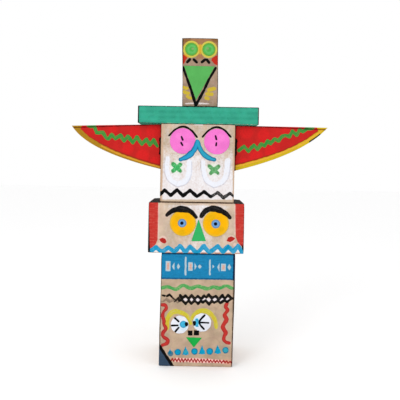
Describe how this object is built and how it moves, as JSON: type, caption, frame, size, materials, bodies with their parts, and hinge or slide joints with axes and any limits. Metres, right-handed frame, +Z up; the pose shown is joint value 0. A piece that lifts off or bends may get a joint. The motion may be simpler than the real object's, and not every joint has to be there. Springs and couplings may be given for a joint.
{
  "type": "totem pole",
  "caption": "Child-high totem pole of stacked cardboard cartons with painted faces, cut-out eyes and beaks, a flat brim and spread wings.",
  "frame": {"origin": "on the floor, under the middle of the base", "axes": "+Z up, +X to the right seen from the front, the painted side faces -Y"},
  "size_m": [1.038, 0.2731, 1.3182],
  "materials": {
    "kraft": "brown kraft paper with matt poster paint",
    "brim_green": "matt teal-green poster paint over board",
    "wing_red": "matt red poster paint over corrugated board",
    "green_card": "matt green card",
    "pink_card": "matt pink card",
    "yellow_card": "matt yellow card",
    "white_card": "matt white card"
  },
  "bodies": {
    "root": {"base_carton": "kraft", "wide_carton": "kraft", "head_carton": "kraft", "brim_carton": "brim_green", "top_carton": "kraft", "wing_left": "wing_red", "wing_right": "wing_red", "top_eye_left": "green_card", "top_eye_right": "green_card", "top_beak": "green_card", "head_eye_left": "pink_card", "head_eye_right": "pink_card", "wide_eye_left": "yellow_card", "wide_eye_right": "yellow_card", "wide_nose": "green_card", "base_eye_left": "white_card", "base_eye_right": "white_card", "base_beak": "green_card"}
  },
  "joints": []
}
